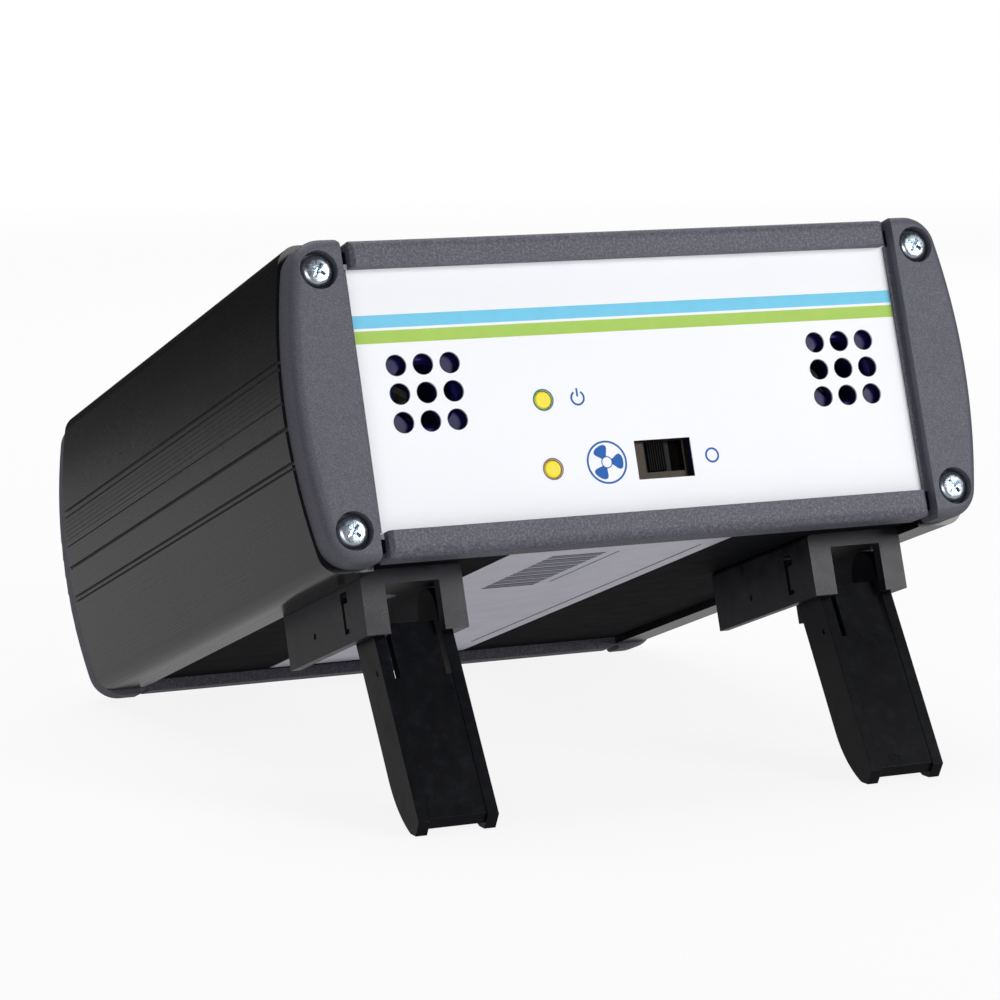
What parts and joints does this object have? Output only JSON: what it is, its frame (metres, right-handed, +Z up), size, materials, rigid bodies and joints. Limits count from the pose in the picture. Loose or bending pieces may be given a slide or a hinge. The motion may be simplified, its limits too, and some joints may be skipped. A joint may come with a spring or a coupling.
{
  "type": "ionizing blower",
  "caption": "Small benchtop ionizing air blower: bulged black extruded housing, white front panel with two outlet grids, slide switch and lamps, tilted back on fold-out legs.",
  "frame": {"origin": "centre of the bounding box on the surface that the blower stands on, with its legs out", "axes": "+Z up; -Y is the side that the front panel faces, and +X is to the right as seen from the front; the housing is tilted back about X by 18.3 degrees"},
  "size_m": [0.125, 0.1521, 0.094],
  "materials": {
    "anodised_body": "black anodised, satin",
    "bezel_plastic": "charcoal, fine sparkle texture",
    "panel_plastic": "matt",
    "white_overlay": "printed film, satin",
    "foam": "closed-cell foam",
    "plated_steel": "zinc plated",
    "label_film": "silver-grey film",
    "foot_plastic": "fine texture",
    "nozzle_plastic": "smooth",
    "insulator": "smooth",
    "potting": "cast resin",
    "lead_red": "smooth insulation",
    "lead_white": "smooth insulation",
    "lead_black": "smooth insulation",
    "board": "solder mask",
    "black_moulding": "smooth",
    "capacitor_sleeve": "sleeved",
    "copper": "enamelled windings",
    "bronze": "sintered",
    "socket_plastic": "smooth",
    "yellow_lens": "translucent lens",
    "switch_metal": "stamped",
    "laminate": "phenolic laminate"
  },
  "bodies": {
    "housing": {"body_shell": "anodised_body", "belly_plate": "anodised_body", "front_bezel": "bezel_plastic", "rear_bezel": "bezel_plastic", "front_panel": "panel_plastic", "front_overlay": "white_overlay", "rear_panel": "panel_plastic", "front_seal": "foam", "rear_seal": "foam", "front_screws": "plated_steel", "rear_screws": "plated_steel", "underside_label": "label_film", "left_foot_block": "foot_plastic", "right_foot_block": "foot_plastic", "foot_screws": "plated_steel", "left_nozzle": "nozzle_plastic", "right_nozzle": "nozzle_plastic", "nozzle_screws": "plated_steel", "left_emitter_holder": "insulator", "right_emitter_holder": "insulator", "left_emitter_pin": "plated_steel", "right_emitter_pin": "plated_steel", "high_voltage_module": "potting", "left_high_voltage_lead": "lead_red", "right_high_voltage_lead": "lead_white", "main_board": "board", "control_board": "board", "board_header": "black_moulding", "board_spacers": "insulator", "board_nuts": "plated_steel", "capacitors": "capacitor_sleeve", "transformer": "copper", "fan_socket": "socket_plastic", "power_socket": "socket_plastic", "fan_lead": "lead_red", "power_lead": "lead_black", "power_lamp": "yellow_lens", "fan_lamp": "yellow_lens", "switch_case": "switch_metal", "switch_base": "laminate", "fan_frame": "black_moulding", "fan_bearing": "bronze", "fan_stator": "copper", "fan_screws": "plated_steel", "fan_nuts": "plated_steel", "dc_jack": "black_moulding", "dc_jack_pin": "plated_steel", "dc_jack_nut": "plated_steel"},
    "left_leg": {"left_leg": "foot_plastic"},
    "right_leg": {"right_leg": "foot_plastic"},
    "switch_knob": {"switch_slider": "black_moulding"},
    "fan_rotor": {"fan_impeller": "black_moulding", "fan_shaft": "plated_steel"}
  },
  "joints": [
    {"name": "left_leg_fold", "type": "hinge", "parent": "housing", "child": "left_leg", "pos_m": [-0.0415, -0.05264, 0.03191], "axis": [1, 0, 0], "range_deg": [0, 104.56]},
    {"name": "right_leg_fold", "type": "hinge", "parent": "housing", "child": "right_leg", "pos_m": [0.0415, -0.05264, 0.03191], "axis": [1, 0, 0], "range_deg": [0, 104.56]},
    {"name": "switch_slide", "type": "slide", "parent": "housing", "child": "switch_knob", "axis": [1, 0, 0], "range_m": [0, 0.0035]},
    {"name": "fan_spin", "type": "hinge", "parent": "housing", "child": "fan_rotor", "pos_m": [0, 0.05372, 0.03101], "axis": [0, 0.9496, -0.3136], "continuous": true}
  ]
}
